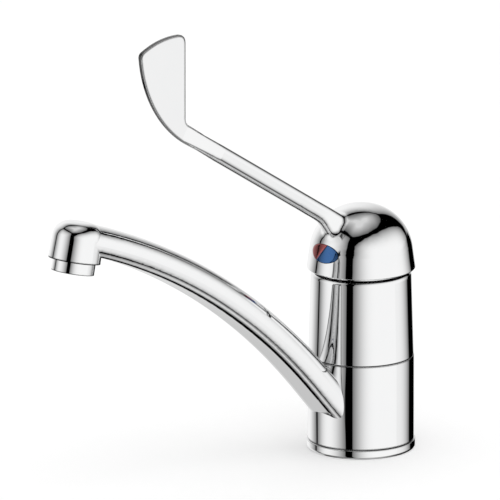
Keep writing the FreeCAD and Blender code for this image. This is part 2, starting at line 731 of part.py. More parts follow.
def make_cartridge_nut():
    """The threaded ring that holds the cartridge down, with notches for its key."""
    solid = ring(NUT_INNER_RADIUS, NUT_RADIUS, NUT_SEAT, BODY_TOP)
    cuts = []
    for index in range(NUT_NOTCHES):
        notch = Part.makeBox(
            NUT_RADIUS, NUT_NOTCH_WIDTH, NUT_NOTCH_DEPTH,
            Vector(0, -NUT_NOTCH_WIDTH / 2, BODY_TOP - NUT_NOTCH_DEPTH))
        notch.rotate(ORIGIN, Z_AXIS, TURN * (index + 1 / 2) / NUT_NOTCHES)
        cuts.append(notch)
    return solid.cut(cuts)


def on_cover(radius, sphere):
    """Height at which a sphere about the pivot has the given radius."""
    return PIVOT + math.sqrt(sphere ** 2 - radius ** 2)


def make_cover_ring():
    """A domed ring whose sphere is centred on the lever's pivot."""
    inner_sphere = COVER_RADIUS - COVER_WALL
    outer_foot = COVER_FOOT_RADIUS - COVER_LEDGE
    inner_foot = math.sqrt(inner_sphere ** 2 - (BODY_TOP - PIVOT) ** 2)

    def arc(start_radius, end_radius, sphere):
        middle = (start_radius + end_radius) / 2
        return Part.Arc(
            Vector(start_radius, 0, on_cover(start_radius, sphere)),
            Vector(middle, 0, on_cover(middle, sphere)),
            Vector(end_radius, 0, on_cover(end_radius, sphere))).toShape()

    opening = COVER_OPENING_RADIUS
    edges = polyline([
        (inner_foot, BODY_TOP),
        (COVER_FOOT_RADIUS, BODY_TOP),
        (COVER_FOOT_RADIUS, COVER_FOOT_TOP),
        (outer_foot, COVER_FOOT_TOP),
    ])
    edges.append(arc(outer_foot, opening, COVER_RADIUS))
    edges += polyline([
        (opening, on_cover(opening, COVER_RADIUS)),
        (opening, on_cover(opening, inner_sphere)),
    ])
    edges.append(arc(opening, inner_foot, inner_sphere))
    return turned(edges)


# Lever


def turned_arc(centre, radius, start, end):
    """An arc in the plane Y = 0 about a (radius, height) centre, between two angles."""
    points = []
    for angle in (start, (start + end) / 2, end):
        points.append(Vector(centre[0] + radius * math.cos(angle), 0, centre[1] + radius * math.sin(angle)))
    return Part.Arc(*points).toShape()


def cap_solid(inset):
    """The solid cap, or the same form drawn in by an inset (out, when negative)."""
    draft = math.radians(CAP_DRAFT)
    top_radius = CAP_RIM_RADIUS - CAP_SKIRT_HEIGHT * math.tan(draft)
    shoulder = (top_radius - CAP_SHOULDER_OFFSET) / math.cos(draft)
    shoulder_centre = (CAP_SHOULDER_OFFSET, CAP_SKIRT_TOP - shoulder * math.sin(draft))
    drop = math.sqrt((CAP_CROWN_RADIUS - shoulder) ** 2 - CAP_SHOULDER_OFFSET ** 2)
    crown_centre = (0, shoulder_centre[1] - drop)
    join = math.atan2(drop, CAP_SHOULDER_OFFSET)
    shoulder_arc = turned_arc(shoulder_centre, shoulder - inset, draft, join)
    crown_arc = turned_arc(crown_centre, CAP_CROWN_RADIUS - inset, join, math.pi / 2)
    rim_radius = CAP_RIM_RADIUS - inset
    rim_centre = (rim_radius - CAP_RIM_ROUND, CAP_RIM + CAP_RIM_ROUND)
    rim_arc = turned_arc(rim_centre, CAP_RIM_ROUND, -math.pi / 2, 0)
    foot = Vector(0, 0, CAP_RIM)
    return turned([
        Part.makeLine(foot, rim_arc.Vertexes[0].Point),
        rim_arc,
        Part.makeLine(rim_arc.Vertexes[-1].Point, shoulder_arc.Vertexes[0].Point),
        shoulder_arc,
        crown_arc,
        Part.makeLine(crown_arc.Vertexes[-1].Point, foot),
    ])


def cap_cavity():
    """The hollow of the cap: a drafted skirt under a dome that leaves a thicker crown."""
    wide = CAP_RIM_RADIUS - CAP_SKIRT_WALL
    narrow = wide - CAP_SKIRT_HEIGHT * math.tan(math.radians(CAP_DRAFT))
    top = cap_solid(0).BoundBox.ZMax - CAP_CROWN_WALL
    rise = top - CAP_SKIRT_TOP
    dome = (narrow ** 2 + rise ** 2) / (2 * rise)
    centre = top - dome
    dome_arc = turned_arc((0, centre), dome, math.atan2(CAP_SKIRT_TOP - centre, narrow), math.pi / 2)
    return turned([
        Part.makeLine(Vector(0, 0, CAP_RIM), Vector(wide, 0, CAP_RIM)),
        Part.makeLine(Vector(wide, 0, CAP_RIM), dome_arc.Vertexes[0].Point),
        dome_arc,
        Part.makeLine(dome_arc.Vertexes[-1].Point, Vector(0, 0, CAP_RIM)),
    ])


def rounded_section(top, bottom, half_width, corner):
    """A rounded rectangle between a top and a bottom point, lying across the tap."""
    centre = (top + bottom) / 2
    half_depth = (top - centre).Length
    up = (top - centre) / half_depth
    corner = min(corner, half_width - BLADE_EDGE_ROUND / 2)
    flat_x = half_width - corner
    flat_u = half_depth - corner

    def at(across, rise):
        return centre + X_AXIS * across + up * rise

    def corner_arc(x_side, u_side):
        """The rounded corner on one side, from the upright edge to the flat one."""
        bend = corner * DIAGONAL
        return [
            at(x_side * half_width, u_side * flat_u),
            at(x_side * (flat_x + bend), u_side * (flat_u + bend)),
            at(x_side * flat_x, u_side * half_depth),
        ]

    low_right = corner_arc(1, -1)[::-1]
    high_right = corner_arc(1, 1)
    high_left = corner_arc(-1, 1)[::-1]
    low_left = corner_arc(-1, -1)
    corners = [low_right, high_right, high_left, low_left]
    edges = []
    for index, points in enumerate(corners):
        edges.append(Part.makeLine(corners[index - 1][-1], points[0]))
        edges.append(Part.Arc(*points).toShape())
    return Part.Wire(edges)


def bar_points(reach, half_depth):
    """Top and bottom points of the straight bar where its axis has the given reach."""
    slope = math.radians(BAR_SLOPE)
    middle = side(reach, CAP_RIM + BAR_AXIS_HEIGHT + reach * math.tan(slope))
    up = side(-math.sin(slope), math.cos(slope))
    return middle + up * half_depth, middle - up * half_depth


def bar_section(reach, half_depth, half_width):
    """A section of the straight bar where its axis has the given reach."""
    top, bottom = bar_points(reach, half_depth)
    return rounded_section(top, bottom, half_width, BAR_CORNER_ROUND)


def make_bar():
    """The bar: a neck that widens into the cap, a straight run, and a taper to the blade."""
    neck = []
    for top_reach, top_height, low_reach, low_height, half_width, corner in NECK_SECTIONS:
        top = side(top_reach, CAP_RIM + top_height)
        low = side(low_reach, CAP_RIM + low_height)
        neck.append(rounded_section(top, low, half_width, corner))
    for step in range(BAR_NECK_LEADS + 1):
        neck.append(bar_section(BAR_NECK_REACH + step * BAR_NECK_LEAD, BAR_HALF_DEPTH, BAR_HALF_WIDTH))
    run_end = bar_section(BLADE_REACH - BAR_TAPER_LENGTH, BAR_HALF_DEPTH, BAR_HALF_WIDTH)
    tip_reach = BLADE_REACH + BLADE_ROOT_OVERLAP
    tip = bar_section(tip_reach, BAR_HALF_DEPTH - BLADE_EDGE_ROUND, BLADE_ROOT_HALF_WIDTH)
    return [
        Part.makeLoft(neck, True, False),
        Part.makeLoft([neck[-1], run_end], True, True),
        Part.makeLoft([run_end, tip], True, True),
    ]


def make_blade():
    """The flat upright blade, from inside the bar to its rounded top."""
    half = BLADE_THICKNESS / 2
    tail_reach = BLADE_REACH - BAR_TAPER_LENGTH + BAR_HALF_DEPTH
    tail_top, tail_bottom = bar_points(tail_reach, BAR_HALF_DEPTH - BLADE_EDGE_ROUND)
    join_top, join_bottom = bar_points(BLADE_REACH + BLADE_ROOT_OVERLAP - BAR_HALF_DEPTH, BAR_HALF_DEPTH)
    slope = math.tan(math.radians(BAR_SLOPE))
    inner_low = side(BLADE_REACH, join_top.z + (BLADE_REACH + join_top.y) * slope)
    inner_high = inner_low + Z_AXIS * BLADE_INNER_LENGTH
    tip = inner_high - Y_AXIS * BLADE_WIDTH - Z_AXIS * BLADE_TIP_DROP

    def bulged(start, end, rise):
        """An arc that stands out from its chord by the given rise."""
        chord = end - start
        outward = Vector(0, chord.z, -chord.y)
        outward.normalize()
        return Part.Arc(start, (start + end) / 2 + outward * rise, end).toShape()

    edges = [
        Part.makeLine(tail_top, join_top),
        Part.makeLine(join_top, inner_low),
        Part.makeLine(inner_low, inner_high),
        bulged(inner_high, tip, BLADE_TOP_BULGE),
        bulged(tip, join_bottom, BLADE_OUTER_BULGE),
        Part.makeLine(join_bottom, tail_bottom),
        Part.makeLine(tail_bottom, tail_top),
    ]
    plate = Part.Face(Part.Wire(edges)).extrude(X_AXIS * BLADE_THICKNESS)
    plate.translate(X_AXIS * -half)
    corners = ((inner_low, BLADE_INNER_ROUND), (inner_high, BLADE_TOP_ROUND), (tip, BLADE_TIP_ROUND))
    for corner, radius in corners:
        edges = [edge for edge in plate.Edges if edge.distToShape(Part.Vertex(corner))[0] < TOLERANCE]
        edges = [edge for edge in edges if edge.BoundBox.XLength > half]
        plate = plate.makeFillet(radius, edges)
    rims = [edge for edge in plate.Edges if edge.BoundBox.XLength < half]
    return plate.makeFillet(BLADE_EDGE_ROUND, rims)


def index_prism(half_width, half_height):
    """An upright ellipse seen from the front, carried back from the rim's reach to the axis."""
    centre = side(CAP_RIM_RADIUS, INDEX_HEIGHT)
    ellipse = Part.Ellipse(centre + X_AXIS * half_width, centre + Z_AXIS * half_height, centre)
    return Part.Face(Part.Wire(ellipse.toShape())).extrude(Y_AXIS * CAP_RIM_RADIUS)


def screw_place():
    """Where the grub screw starts on the stem, and its length to behind the index."""
    stem, out = stem_direction()
    draft = math.radians(CAP_DRAFT)
    skin = side(CAP_RIM_RADIUS - (INDEX_HEIGHT_ABOVE_RIM - CAP_RIM_ROUND) * math.tan(draft), INDEX_HEIGHT)
    arm = (skin - PIVOT_POINT).dot(stem)
    start = PIVOT_POINT + stem * arm + out * (STEM_SQUARE / 2)
    length = (skin - start).dot(out) - INDEX_DEPTH - SCREW_BEHIND_INDEX
    return start, length


def lever_skin():
    """Cap, bar and blade as one outer form, blended where the neck leaves the cap."""
    cap = cap_solid(0)
    neck, run, taper = make_bar()
    skin = cap.fuse(neck).removeSplitter()
    skin = skin.makeFillet(NECK_BLEND, seam_edges(skin, cap, neck))
    return skin.fuse([run, taper, make_blade()])


def make_lever_handle():
    stem, out = stem_direction()
    inside_sweep = PIVOT_POINT + stem * (COVER_RADIUS - COVER_WALL)
    boss = Part.makeCylinder(BOSS_RADIUS, CAP_CROWN_RADIUS, inside_sweep, stem)
    screw_start, length = screw_place()
    tunnel = Part.makeCylinder(SCREW_BOSS_RADIUS, CAP_RIM_RADIUS, screw_start, out)
    core = boss.fuse(tunnel).cut(Part.makeSphere(SWEEP_RADIUS, PIVOT_POINT))
    half = (STEM_SQUARE + STEM_CLEARANCE) / 2
    socket = Part.makeBox(
        2 * half, 2 * half, STEM_TOP_ARM + STEM_CLEARANCE,
        PIVOT_POINT - Vector(half, half, 0))
    screw_hole = Part.makeCylinder(SCREW_RADIUS, CAP_RIM_RADIUS, screw_start, out)
    recess = index_prism(INDEX_HALF_WIDTH + INDEX_GAP, INDEX_HALF_HEIGHT + INDEX_GAP)
    recess = recess.cut(cap_solid(INDEX_DEPTH))
    shell = lever_skin().cut(cap_cavity().cut(core))
    return shell.cut([leaned(socket), screw_hole, recess]).removeSplitter()


def make_handle_screw():
    """A grub screw that bears on the stem, with a hexagon socket at its outer end."""
    start, length = screw_place()
    out = stem_direction()[1]
    body = Part.makeCylinder(SCREW_RADIUS, length, start, out)
    key_radius = SCREW_KEY_WIDTH / math.sqrt(3)
    across = X_AXIS.cross(out)
    floor = start + out * (length - SCREW_KEY_DEPTH)
    corners = []
    for index in range(HEXAGON + 1):
        turn = 2 * math.pi * index / HEXAGON
        corners.append(floor + (X_AXIS * math.cos(turn) + across * math.sin(turn)) * key_radius)
    key = Part.Face(Part.makePolygon(corners)).extrude(out * SCREW_KEY_DEPTH)
    return body.cut(key)


def make_index(upper):
    """One colour of the two-colour index plug, above or below its diagonal split."""
    plug = index_prism(INDEX_HALF_WIDTH, INDEX_HALF_HEIGHT)
    plug = plug.common(cap_solid(-INDEX_PROUD)).cut(cap_solid(INDEX_DEPTH))
    size = 2 * CAP_RIM_RADIUS
    corner = Vector(-size / 2, -size, 0 if upper else -size)
    half_space = Part.makeBox(size, size, size, corner)
    half_space.rotate(ORIGIN, Y_AXIS, -INDEX_SPLIT_ANGLE)
    half_space.translate(Z_AXIS * INDEX_HEIGHT)
    return plug.common(half_space)


PARTS = {
    "base_ring": make_base_ring,
    "base_gasket": make_base_gasket,
    "body": make_body,
    "slip_ring_lower": lambda: make_slip_ring(BASE_HEIGHT),
    "slip_ring_upper": lambda: make_slip_ring(SHOULDER - SLIP_RING_HEIGHT),
    "o_ring_lower": lambda: make_o_ring(o_ring_heights()[0]),
    "o_ring_upper": lambda: make_o_ring(o_ring_heights()[1]),
    "spout": make_spout,
    "aerator_shell": make_aerator_shell,
    "aerator_insert": make_aerator_insert,
    "aerator_screen": make_aerator_screen,
    "aerator_washer": make_aerator_washer,
    "cartridge_base": make_cartridge_base,
    "cartridge_seals": make_cartridge_seals,
    "fixed_disc": make_fixed_disc,
    "moving_disc": make_moving_disc,
    "disc_carrier": make_disc_carrier,
    "cartridge_housing": make_cartridge_housing,
    "cartridge_turret": make_cartridge_turret,
    "cartridge_stem": make_cartridge_stem,
    "stem_pin": make_stem_pin,
    "cartridge_nut": make_cartridge_nut,
    "cover_ring": make_cover_ring,
    "lever_handle": make_lever_handle,
    "handle_screw": make_handle_screw,
    "index_red": lambda: make_index(True),
    "index_blue": lambda: make_index(False),
}

os.makedirs("parts", exist_ok=True)
for name, make in PARTS.items():
    shape = make()
    print(name, len(shape.Solids), round(shape.Volume, 1), shape.isValid())
    shape.exportStep("parts/" + name + ".step")
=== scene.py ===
"""Dresses and lights the single-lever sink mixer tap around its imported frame."""
import logging
import math
from dataclasses import dataclass, field
from enum import Enum
from typing import Any, Sequence, Union

import bmesh
import bpy
import numpy as np
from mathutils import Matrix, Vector

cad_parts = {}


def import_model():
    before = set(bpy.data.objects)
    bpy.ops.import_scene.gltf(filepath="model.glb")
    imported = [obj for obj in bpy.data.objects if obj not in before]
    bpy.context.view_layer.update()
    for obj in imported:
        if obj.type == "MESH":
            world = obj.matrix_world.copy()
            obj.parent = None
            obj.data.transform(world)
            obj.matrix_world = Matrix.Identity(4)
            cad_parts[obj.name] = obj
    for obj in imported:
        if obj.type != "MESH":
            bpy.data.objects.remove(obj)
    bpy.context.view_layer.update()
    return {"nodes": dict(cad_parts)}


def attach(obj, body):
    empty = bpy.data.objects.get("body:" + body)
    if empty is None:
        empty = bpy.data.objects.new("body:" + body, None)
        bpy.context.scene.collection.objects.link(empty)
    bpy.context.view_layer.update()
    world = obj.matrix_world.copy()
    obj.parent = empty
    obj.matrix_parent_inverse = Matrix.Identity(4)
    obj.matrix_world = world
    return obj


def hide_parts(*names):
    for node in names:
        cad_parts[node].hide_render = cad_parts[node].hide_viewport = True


LOG = logging.getLogger("tap")
MM = 0.001
WHITE = (1.0, 1.0, 1.0, 1.0)
CLOUD_DETAIL = 3.0
GRAIN_DETAIL = 2.0
OPENNESS_SAMPLES = 16
MERGE_DISTANCE = 1e-7
SHARP_ANGLE = 50.0

Socket = bpy.types.NodeSocket
Value = Union[float, tuple, Socket]
Pair = tuple[float, float]
Triple = tuple[float, float, float]


class Slot(Enum):
    """Material slots of the record."""

    CHROME = "chrome"
    STEEL = "steel"
    BRASS = "brass"
    CERAMIC = "ceramic"
    RUBBER = "black_rubber"
    WHITE_PLASTIC = "white_plastic"
    GREY_PLASTIC = "grey_plastic"
    RED = "red"
    BLUE = "blue"


class Graph:
    """A node tree with short calls for the few node kinds that the finishes use."""

    def __init__(self, tree: bpy.types.NodeTree) -> None:
        """Keep the tree.

        Args:
            tree: The node tree to fill.
        """
        self.tree = tree

    def node(self, kind: str, **settings: Any) -> bpy.types.Node:
        """Add a node.

        Args:
            kind: The node's type name.
            settings: Properties to set on it.

        Returns:
            The new node.
        """
        made = self.tree.nodes.new(kind)
        for name, value in settings.items():
            setattr(made, name, value)
        return made

    def plug(self, source: Value, target: Socket) -> None:
        """Link a socket to an input, or set the input's value when the source isn't one.

        Args:
            source: An output socket, a number or a colour.
            target: The input socket.
        """
        if isinstance(source, Socket):
            self.tree.links.new(source, target)
        else:
            target.default_value = source

    def math(self, operation: str, *values: Value, clamp: bool = False) -> Socket:
        """Add a math node.

        Args:
            operation: The operation's name.
            values: Sockets or numbers for its inputs.
            clamp: Whether the result is kept between 0 and 1.

        Returns:
            Its output socket.
        """
        made = self.node("ShaderNodeMath", operation=operation, use_clamp=clamp)
        for value, target in zip(values, made.inputs):
            self.plug(value, target)
        return made.outputs[0]

    def noise(
            self, coords: Socket, scale: float, detail: float,
            stretch: Triple = (1.0, 1.0, 1.0)) -> Socket:
        """Add a noise over coordinates in metres, stretched along the axes.

        Args:
            coords: The coordinate socket.
            scale: Features per metre.
            detail: Octaves.
            stretch: Factor on each axis.

        Returns:
            The noise value's socket.
        """
        mapping = self.node("ShaderNodeMapping")
        mapping.inputs["Scale"].default_value = stretch
        self.plug(coords, mapping.inputs["Vector"])
        made = self.node("ShaderNodeTexNoise")
        made.inputs["Scale"].default_value = scale
        made.inputs["Detail"].default_value = detail
        self.plug(mapping.outputs["Vector"], made.inputs["Vector"])
        return made.outputs["Fac"]

    def spread(self, value: Value, low: float, high: float) -> Socket:
        """Map a 0 to 1 value evenly onto a range.

        Args:
            value: The value to map.
            low: What 0 becomes.
            high: What 1 becomes.

        Returns:
            The mapped value's socket.
        """
        made = self.node("ShaderNodeMapRange")
        self.plug(value, made.inputs["Value"])
        made.inputs["To Min"].default_value = low
        made.inputs["To Max"].default_value = high
        return made.outputs["Result"]

    def smooth_step(self, value: Value, start: float, end: float) -> Socket:
        """Rise smoothly from 0, where a value is at start, to 1, where it is at end.

        Args:
            value: The value to test.
            start: Where the result is 0.
            end: Where the result is 1, which may be below start.

        Returns:
            The step's socket.
        """
        made = self.node("ShaderNodeMapRange", interpolation_type="SMOOTHSTEP")
        self.plug(value, made.inputs["Value"])
        made.inputs["From Min"].default_value = start
        made.inputs["From Max"].default_value = end
        return made.outputs["Result"]

    def mix(self, factor: Value, first: Value, second: Value, blend_type: str = "MIX") -> Socket:
        """Mix two colours.

        Args:
            factor: The share of the second colour.
            first: The first colour.
            second: The second colour.
            blend_type: How the node combines them.

        Returns:
            The result's socket.
        """
        made = self.node("ShaderNodeMix", data_type="RGBA", blend_type=blend_type)
        self.plug(factor, made.inputs["Factor"])
        colours = [socket for socket in made.inputs if socket.type == "RGBA"]
        self.plug(first, colours[0])
        self.plug(second, colours[1])
        return next(socket for socket in made.outputs if socket.type == "RGBA")

    def blend(self, factor: Value, first: Triple, second: Triple) -> Socket:
        """Mix two opaque colours by a factor and return the result's socket."""
        return self.mix(factor, (*first, 1.0), (*second, 1.0))

    def shade(self, colour: Value, share: Value) -> Socket:
        """Multiply a colour by a share of light and return the result's socket."""
        return self.mix(1.0, colour, share, "MULTIPLY")

    def openness(self, reach: float, bounds: Pair, inside: bool) -> Socket:
        """How open the surface's surroundings are within a reach, or its inner side's.

        Args:
            reach: How far the surface looks round itself, in metres.
            bounds: The openness that counts as closed, and the one that counts as open.
            inside: Whether it looks into the metal, which finds the sharp edges.

        Returns:
            A socket from 0, closed, to 1, open.
        """
        around = self.node(
            "ShaderNodeAmbientOcclusion", samples=OPENNESS_SAMPLES, inside=inside,
            only_local=inside)
        around.inputs["Distance"].default_value = reach
        return self.smooth_step(around.outputs["AO"], *bounds)

    def painted_crease_shade(self, colour: Socket, reach: float, bounds: Pair) -> Socket:
        """Paint shade into a colour in tight hollows, for the dark reflections that chrome shows
        there.

        Args:
            colour: The colour socket.
            reach: How far the surface looks round itself, in metres.
            bounds: The openness that counts as closed, and the one that counts as open.

        Returns:
            The darkened colour's socket.
        """
        # Painted shade: the colour is multiplied down where the surroundings are closed.
        return self.shade(colour, self.openness(reach, bounds, False))

    def edges(
            self, colour: Socket, reach: float, bounds: Pair, coords: Socket,
            heights: Pair) -> Socket:
        """Darken a colour along the sharp edges: painted dark reflection lines where the polish
        rolls over.

        Args:
            colour: The colour socket.
            reach: Half the width of the line, in metres.
            bounds: The openness that counts as closed, and the one that counts as open.
            coords: The coordinate socket.
            heights: How high in the frame the lines begin, and where they are full, in metres.

        Returns:
            The darkened colour's socket.
        """
        # Painted dark reflection lines: dark where the look into the metal finds a sharp edge,
        # only above the given height.
        begin, full = heights
        split = self.node("ShaderNodeSeparateXYZ")
        self.plug(coords, split.inputs[0])
        below = self.smooth_step(split.outputs["Z"], full, begin)
        share = self.math("MAXIMUM", self.openness(reach, bounds, True), below)
        return self.shade(colour, share)

    def bump(self, height: Socket, distance: float) -> Socket:
        """Add a bump.

        Args:
            height: The relief's socket, from 0 to 1.
            distance: The relief's depth in metres.

        Returns:
            The bump's normal socket.
        """
        made = self.node("ShaderNodeBump")
        made.inputs["Distance"].default_value = distance
        self.plug(height, made.inputs["Height"])
        return made.outputs["Normal"]


@dataclass(frozen=True)
class Finish:
    """A surface finish: two near colours, a range of roughness and a fine relief.

    The colour wanders between its two values with a soft noise of cloud_scale features per
    metre. The roughness and the relief follow a finer noise of grain_scale, stretched along
    the axes. The crease and edge reaches are how far a hollow and a sharp edge are looked for,
    in metres, and 0 leaves them out: the hollows get painted shade, and the sharp edges painted
    dark reflection lines. Each has the openness that counts as closed and as open. The edge
    lines are drawn above the given edge height, whose default is below the whole tap.
    """

    name: str
    slot: Slot
    colour: Triple
    second_colour: Triple
    roughness: Pair
    metallic: float = 0.0
    specular: float = 0.5
    coat: float = 0.0
    # Painted shade in hollows: how far it looks, and the openness bounds.
    crease_shade_reach: float = 0.0
    crease_shade_bounds: Pair = (0.6, 0.85)
    # Painted dark reflection lines along sharp edges: half width, openness bounds and the height
    # they start at.
    edge: float = 0.0
    painted_edge_bounds: Pair = (0.5, 0.9)
    painted_edge_height: Pair = (-0.002, -0.001)
    cloud_scale: float = 90.0
    grain_scale: float = 900.0
    grain_depth: float = 0.0
    stretch: Triple = (1.0, 1.0, 1.0)

    def colour_socket(self, graph: Graph, coords: Socket) -> Socket:
        """Build the clouded colour with painted shade in its hollows and painted dark reflection
        lines along its edges.

        Args:
            graph: The material's graph.
            coords: The coordinate socket.

        Returns:
            The colour's socket.
        """
        cloud = graph.noise(coords, self.cloud_scale, CLOUD_DETAIL)
        colour = graph.blend(cloud, self.colour, self.second_colour)
        # Painted shade in the hollows and painted dark reflection lines along the sharp edges.
        if self.crease_shade_reach:
            colour = graph.painted_crease_shade(colour, self.crease_shade_reach, self.crease_shade_bounds)
        if self.edge:
            colour = graph.edges(colour, self.edge, self.painted_edge_bounds, coords, self.painted_edge_height)
        return colour

    def make(self) -> bpy.types.Material:
        """Build the material.

        Returns:
            The finished material, with its pattern on Object coordinates.
        """
        material = bpy.data.materials.new(self.name)
        material.use_nodes = True
        graph = Graph(material.node_tree)
        shader = material.node_tree.nodes["Principled BSDF"]
        coords = graph.node("ShaderNodeTexCoord").outputs["Object"]
        graph.plug(self.colour_socket(graph, coords), shader.inputs["Base Color"])
        grain = graph.noise(coords, self.grain_scale, GRAIN_DETAIL, self.stretch)
        graph.plug(graph.spread(grain, *self.roughness), shader.inputs["Roughness"])
        shader.inputs["Metallic"].default_value = self.metallic
        shader.inputs["Specular IOR Level"].default_value = self.specular
        shader.inputs["Coat Weight"].default_value = self.coat
        if self.grain_depth:
            graph.plug(graph.bump(grain, self.grain_depth), shader.inputs["Normal"])
        material.diffuse_color = (*self.colour, 1.0)
        return material


CHROME: dict[str, Any] = dict(
    slot=Slot.CHROME, colour=(0.93, 0.935, 0.94), second_colour=(0.95, 0.95, 0.95),
    roughness=(0.008, 0.022), metallic=1.0)
# These chrome finishes paint shade into hollows and dark reflection lines along sharp edges.
SPOUT_CHROME = Finish("chrome_plate_spout", edge=0.0015, painted_edge_bounds=(0.6, 0.88), **CHROME)
BODY_CHROME = Finish("chrome_plate_body", crease_shade_reach=0.0015, **CHROME)
LEVER_CHROME = Finish(
    "chrome_plate_lever", crease_shade_reach=0.004, crease_shade_bounds=(0.66, 0.88), edge=0.0021,
    painted_edge_bounds=(0.58, 0.91), painted_edge_height=(0.119, 0.125), **CHROME)
RING_CHROME = Finish("chrome_plate_rings", edge=0.001, **CHROME)
BRUSHED_STEEL = Finish(
    "brushed_steel", Slot.STEEL, (0.56, 0.56, 0.57), (0.66, 0.66, 0.66), (0.25, 0.42),
    metallic=1.0, grain_depth=0.00001, stretch=(1.0, 1.0, 12.0))
TURNED_BRASS = Finish(
    "turned_brass", Slot.BRASS, (0.78, 0.56, 0.24), (0.70, 0.48, 0.20), (0.22, 0.36),
    metallic=1.0, grain_depth=0.00001, stretch=(1.0, 1.0, 14.0))
LAPPED_CERAMIC = Finish(
    "lapped_ceramic", Slot.CERAMIC, (0.86, 0.85, 0.82), (0.80, 0.79, 0.76), (0.12, 0.2),
    coat=0.2)
# The frame already holds a plain material with this finish's name, and
# SubAssembly.material takes that one, so the values here aren't used.
BLACK_RUBBER = Finish(
    "black_rubber", Slot.RUBBER, (0.018, 0.018, 0.019), (0.03, 0.03, 0.032), (0.55, 0.75),
    specular=0.35, grain_depth=0.00002)
WHITE_ACETAL = Finish(
    "white_acetal", Slot.WHITE_PLASTIC, (0.82, 0.82, 0.80), (0.76, 0.76, 0.74), (0.35, 0.5),
    grain_depth=0.00001)
GREY_ACETAL = Finish(
    "grey_acetal", Slot.GREY_PLASTIC, (0.30, 0.31, 0.32), (0.25, 0.26, 0.27), (0.35, 0.5),
    grain_depth=0.00001)
RED_ENAMEL = Finish(
    "red_enamel", Slot.RED, (0.42, 0.11, 0.11), (0.37, 0.095, 0.095), (0.02, 0.05),
    metallic=0.95, coat=0.2)
BLUE_ENAMEL = Finish(
    "blue_enamel", Slot.BLUE, (0.055, 0.16, 0.38), (0.045, 0.13, 0.34), (0.02, 0.05),
    metallic=0.95, coat=0.2)


@dataclass(frozen=True)
class Rim:
    """The long edge of a light wall, seen from the tap, and the dark ring beyond it.

    The edge is straight, so its elevation is the arc tangent of height times the cosine of
    the angle from turn, with a flat middle. The ring's far side rises by ring_rise at
    ring_turn. Angles are degrees round the tap.
    """

    height: float
    turn: float
    ring_turn: float
    ring_rise: float


@dataclass(frozen=True)
class Softbox:
    """A soft light wall of the studio, in degrees round the tap.

    Its upright edges are counted from the camera's side towards its right. Above the horizon
    they lean to the right by their lean. The fades are how far the light takes to reach its
    full strength from each edge. The dark ring's rise is spread over ring_half on both sides.
    Below the horizon the wall reaches at least as far as its top does above it, less
    foot_drop, and its edge starts at foot_level.
    """

    left: float
    right: float
    left_lean: float
    right_lean: float
    left_fade: float
    right_fade: float
    top: Rim
    foot: Rim
    ring_half: float
    foot_drop: float = 90.0
    foot_level: float = 0.15


class Sky(Graph):
    """The world's node tree, with the direction that is looked in, in radians.

    turn is counted round the tap from the camera's side, and rise is the angle from the
    horizon, up or down. above is 1 over the horizon and 0 under it, and lift goes from 0 at
    the horizon to 1 a little over it.
    """

    def __init__(self, tree: bpy.types.NodeTree, azimuth: float, lift_gain: float) -> None:
        """Clear the tree and work out the direction.

        Args:
            tree: The world's node tree.
            azimuth: The camera's turn to the right of the front, in degrees.
            lift_gain: One over the sine of the elevation where lift reaches 1.
        """
        super().__init__(tree)
        tree.nodes.clear()
        split = self.node("ShaderNodeSeparateXYZ")
        self.plug(self.node("ShaderNodeTexCoord").outputs["Generated"], split.inputs[0])
        height = split.outputs["Z"]
        turn = self.math("ARCTAN2", split.outputs["Y"], split.outputs["X"])
        self.turn = self.math("SUBTRACT", turn, math.radians(azimuth) - math.pi / 2)
        self.rise = self.math("ABSOLUTE", self.math("ARCSINE", height))
        self.above = self.math("GREATER_THAN", height, 0.0)
        self.lift = self.math("MULTIPLY", height, lift_gain, clamp=True)

    def either(self, upper: float, lower: float) -> Socket:
        """The upper number above the horizon and the lower one below it."""
        return self.math("MULTIPLY_ADD", self.above, upper - lower, lower)

    def from_turn(self, angle: Value) -> Socket:
        """The turn from an angle, wrapped to half a circle either way.

        Args:
            angle: Degrees round the tap, as a number or a socket.

        Returns:
            The socket of the difference, in radians.
        """
        if isinstance(angle, float):
            angle = math.radians(angle)
        else:
            angle = self.math("RADIANS", angle)
        return self.math("WRAP", self.math("SUBTRACT", self.turn, angle), math.pi, -math.pi)


